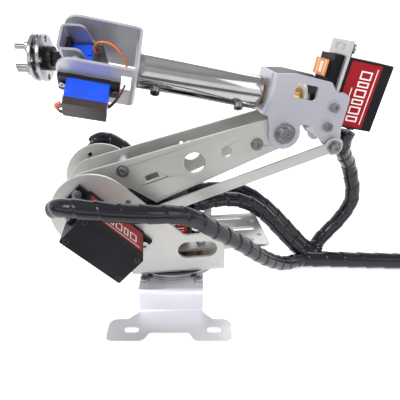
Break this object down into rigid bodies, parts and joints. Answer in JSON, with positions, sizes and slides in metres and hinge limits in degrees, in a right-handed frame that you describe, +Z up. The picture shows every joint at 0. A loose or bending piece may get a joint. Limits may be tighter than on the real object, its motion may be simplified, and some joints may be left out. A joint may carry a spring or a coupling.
{
  "type": "desktop robot arm",
  "caption": "Desktop robot arm of bent sheet brackets on a turntable, with hobby servos, a crank-and-link elbow, a tube forearm, a bending wrist and a turning tool flange.",
  "frame": {"origin": "centre of the four foot slots, on the table plane", "axes": "+Z up from the table, +X from the wrist side towards the cables, +Y towards the side of the arm without the crank"},
  "size_m": [0.3128, 0.1395, 0.1717],
  "materials": {
    "silver_sheet": "satin, faintly lilac bent sheet",
    "brushed_sheet": "brushed, slightly warm",
    "grey_sheet": "satin",
    "steel": "machined",
    "polished_tube": "polished",
    "brass": "machined",
    "servo_black": "fine moulded texture",
    "servo_label": "crimson film label with plain pale bars",
    "micro_blue": "translucent-looking moulded plastic",
    "micro_cap": "moulded",
    "horn_black": "moulded",
    "white_plastic": "moulded nylon",
    "wire": "insulated wires side by side",
    "spiral_wrap": "glossy spiral wrap",
    "plug_black": "moulded"
  },
  "bodies": {
    "base": {"base_bracket": "silver_sheet", "base_screws": "steel", "bearing_lower": "steel", "base_horn": "white_plastic", "base_servo_shaft": "brass"},
    "turntable": {"bearing_upper": "steel", "turntable_bracket": "brushed_sheet", "servo_tray": "brushed_sheet", "tray_posts": "brass", "base_servo_case": "servo_black", "base_servo_cover": "servo_black", "elbow_servo_case": "servo_black", "elbow_servo_cover": "servo_black", "shoulder_servo_case": "servo_black", "shoulder_servo_cover": "servo_black", "turntable_screws": "steel", "harness_main": "spiral_wrap", "harness_far": "spiral_wrap", "harness_drop": "spiral_wrap", "servo_plugs": "plug_black"},
    "upper_arm": {"arm_plate_near": "brushed_sheet", "arm_plate_far": "brushed_sheet", "arm_standoffs": "brushed_sheet", "arm_screws": "steel", "shoulder_horn": "horn_black", "shoulder_servo_shaft": "brass"},
    "crank": {"crank_horn": "horn_black", "elbow_servo_shaft": "brass", "crank_arm": "brushed_sheet", "crank_pin": "steel"},
    "link": {"link_bar": "brushed_sheet", "link_bearings": "steel"},
    "forearm": {"elbow_bracket": "silver_sheet", "roll_servo_plate": "brushed_sheet", "roll_servo_case": "servo_black", "roll_servo_cover": "servo_black", "forearm_screws": "steel", "elbow_bolts": "steel", "link_pin": "steel", "forearm_bearing": "brass", "harness_elbow": "spiral_wrap"},
    "wrist": {"roll_servo_shaft": "brass", "roll_horn": "white_plastic", "drive_coupling": "brass", "forearm_tube": "polished_tube", "wrist_bracket": "grey_sheet", "pitch_servo_case": "micro_blue", "pitch_servo_cover": "micro_cap", "wrist_screws": "steel", "pitch_servo_lead": "wire"},
    "hand": {"pitch_servo_shaft": "white_plastic", "pitch_horn": "white_plastic", "hand_bracket": "silver_sheet", "tool_servo_case": "micro_blue", "tool_servo_cover": "micro_cap", "tool_servo_lead": "wire"},
    "tool": {"tool_servo_shaft": "white_plastic", "tool_horn": "horn_black", "tool_flange": "steel", "tool_pins": "steel"}
  },
  "joints": [
    {"name": "base_yaw", "type": "hinge", "parent": "base", "child": "turntable", "pos_m": [-0.002, 0, 0], "axis": [0, 0, 1], "range_deg": [-90, 90], "deforming": ["harness_main", "harness_far", "servo_plugs"]},
    {"name": "shoulder_lift", "type": "hinge", "parent": "turntable", "child": "upper_arm", "pos_m": [-0.04895, -0.00576, 0.0675], "axis": [0.1219, -0.9925, 0], "range_deg": [-10, 60], "deforming": ["harness_drop"]},
    {"name": "elbow_fold", "type": "hinge", "parent": "upper_arm", "child": "forearm", "pos_m": [0.06461, 0.00818, 0.10689], "axis": [-0.1219, 0.9925, 0], "range_deg": [-5, 80], "deforming": ["harness_elbow"]},
    {"name": "crank_turn", "type": "hinge", "parent": "upper_arm", "child": "crank", "pos_m": [-0.04895, -0.00576, 0.0675], "axis": [-0.1219, 0.9925, 0], "range_deg": [-5, 80]},
    {"name": "link_pivot", "type": "hinge", "parent": "crank", "child": "link", "pos_m": [-0.01828, -0.002, 0.05878], "axis": [-0.1219, 0.9925, 0], "range_deg": [-80, 5]},
    {"name": "forearm_roll", "type": "hinge", "parent": "forearm", "child": "wrist", "pos_m": [0.05115, 0.00653, 0.12837], "axis": [-0.9733, -0.1195, 0.1959], "range_deg": [-90, 90]},
    {"name": "wrist_bend", "type": "hinge", "parent": "wrist", "child": "hand", "pos_m": [-0.04861, -0.00572, 0.14845], "axis": [0.0513, 0.7187, 0.6934], "range_deg": [-75, 95], "deforming": ["tool_servo_lead"]},
    {"name": "tool_roll", "type": "hinge", "parent": "hand", "child": "tool", "pos_m": [-0.0556, -0.00554, 0.14878], "axis": [-0.9985, 0.0255, 0.0475], "range_deg": [-90, 90]}
  ],
  "couplings": [
    {"joint": "crank_turn", "follows": "elbow_fold", "ratio": 1},
    {"joint": "link_pivot", "follows": "elbow_fold", "ratio": -1}
  ]
}
